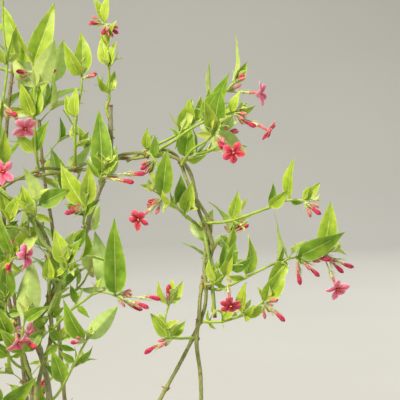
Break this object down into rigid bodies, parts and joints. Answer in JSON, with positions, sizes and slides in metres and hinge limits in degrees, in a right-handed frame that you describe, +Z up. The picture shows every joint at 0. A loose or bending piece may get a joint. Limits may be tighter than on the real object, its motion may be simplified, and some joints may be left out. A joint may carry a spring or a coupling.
{
  "type": "twining flowering jasmine shrub",
  "caption": "Young twining jasmine shrub in flower: thin woody stems from one crown, opposite pointed leaves, small tubular flowers and club-shaped buds, rooted at a flat cut.",
  "frame": {"origin": "middle of the flat cut under the crown, at ground level", "axes": "+Z up, +X to the right as seen from the front, +Y away from the front"},
  "size_m": [0.2964, 0.1682, 0.413],
  "materials": {
    "bark": "dull olive-grey bark",
    "young_bark": "smooth green bark",
    "foliage": "satin leaves"
  },
  "bodies": {
    "root": {"arch_a": "bark", "arch_b": "bark", "crown": "bark", "spray_arch_low": "foliage", "spray_back_1": "foliage", "spray_back_2": "foliage", "spray_back_3": "foliage", "spray_back_4": "foliage", "spray_back_left_1": "foliage", "spray_back_left_2": "foliage", "spray_back_left_3": "foliage", "spray_back_left_4": "foliage", "spray_bottom_centre": "foliage", "spray_bottom_left": "foliage", "spray_centre": "foliage", "spray_centre_left": "foliage", "spray_centre_tall": "foliage", "spray_far_left": "foliage", "spray_front_far_left": "foliage", "spray_front_left": "foliage", "spray_front_round": "foliage", "spray_green_high": "foliage", "spray_green_low": "foliage", "spray_left_high": "foliage", "spray_left_middle": "foliage", "spray_left_upper": "foliage", "spray_low_centre": "foliage", "spray_low_green": "foliage", "spray_middle_high": "foliage", "spray_middle_low": "foliage", "spray_old_top": "foliage", "spray_outer_1": "foliage", "spray_outer_2": "foliage", "spray_outer_3": "foliage", "spray_outer_4": "foliage", "spray_right_a": "foliage", "spray_right_a_1": "foliage", "spray_right_a_2": "foliage", "spray_right_b": "foliage", "spray_right_b_1": "foliage", "spray_right_c": "foliage", "spray_right_d": "foliage", "spray_top_left": "foliage", "spray_top_right_a": "foliage", "spray_top_right_b": "foliage", "spray_top_right_c": "foliage", "stem_back": "bark", "stem_back_left": "bark", "stem_green": "young_bark", "stem_left": "bark", "stem_old_lower": "bark", "stem_old_upper": "bark", "stem_outer": "bark", "stem_pale_lower": "bark", "stem_pale_upper": "bark", "stem_right_a": "bark", "stem_right_b": "bark", "stem_right_c": "young_bark"}
  },
  "joints": []
}
